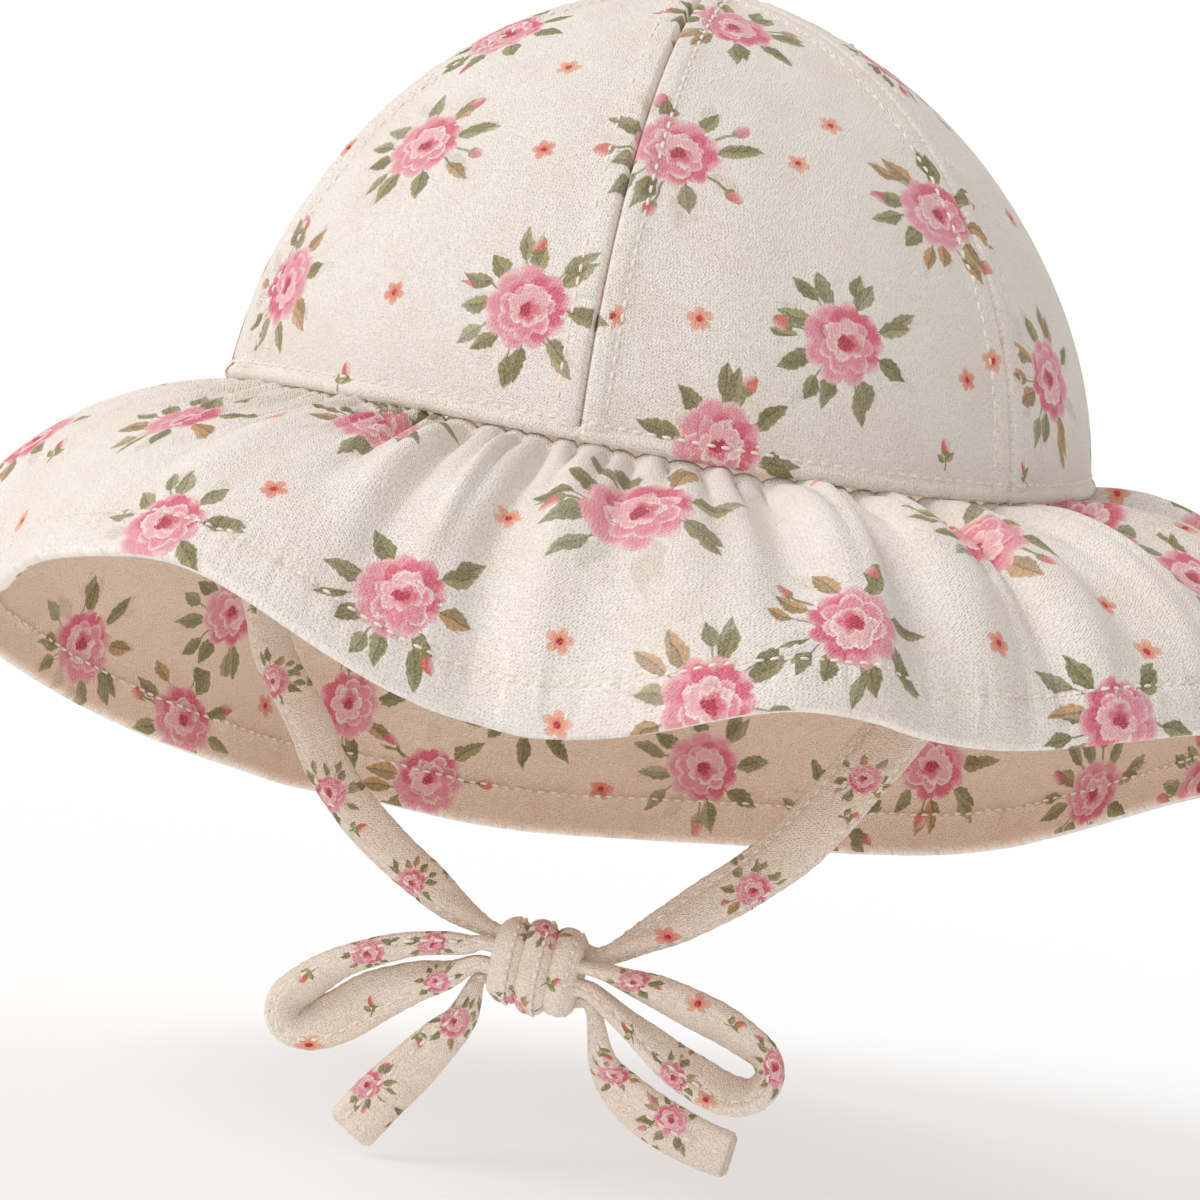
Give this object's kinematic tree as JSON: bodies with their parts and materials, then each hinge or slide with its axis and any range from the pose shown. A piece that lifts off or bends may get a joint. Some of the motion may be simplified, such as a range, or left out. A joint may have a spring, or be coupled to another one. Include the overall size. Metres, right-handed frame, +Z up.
{
  "type": "baby's sun hat",
  "caption": "Cotton bucket sun hat for a baby: domed gored crown, wide gathered wavy brim that droops low at the back, floral print, and chin ties knotted in a bow.",
  "frame": {"origin": "centre of the head opening, at the seam that joins the crown and the brim", "axes": "+Z up along the crown's axis, the wearer's face towards -Y, +X to the right as seen from the front"},
  "size_m": [0.2473, 0.2408, 0.2109],
  "materials": {
    "crown_cloth": "matt cotton with a rose print",
    "brim_cloth": "matt cotton with a rose print",
    "tie_cloth": "matt cotton with a small rose print"
  },
  "bodies": {
    "root": {"crown_panel_1": "crown_cloth", "crown_panel_2": "crown_cloth", "crown_panel_3": "crown_cloth", "crown_panel_4": "crown_cloth", "crown_panel_5": "crown_cloth", "crown_panel_6": "crown_cloth", "crown_button": "crown_cloth", "seam_piping": "crown_cloth", "brim_front": "brim_cloth", "brim_back": "brim_cloth", "tie_left": "tie_cloth", "tie_right": "tie_cloth", "bow_knot": "tie_cloth", "bow_loop_left": "tie_cloth", "bow_loop_right": "tie_cloth", "bow_tail_left": "tie_cloth", "bow_tail_right": "tie_cloth"}
  },
  "joints": []
}
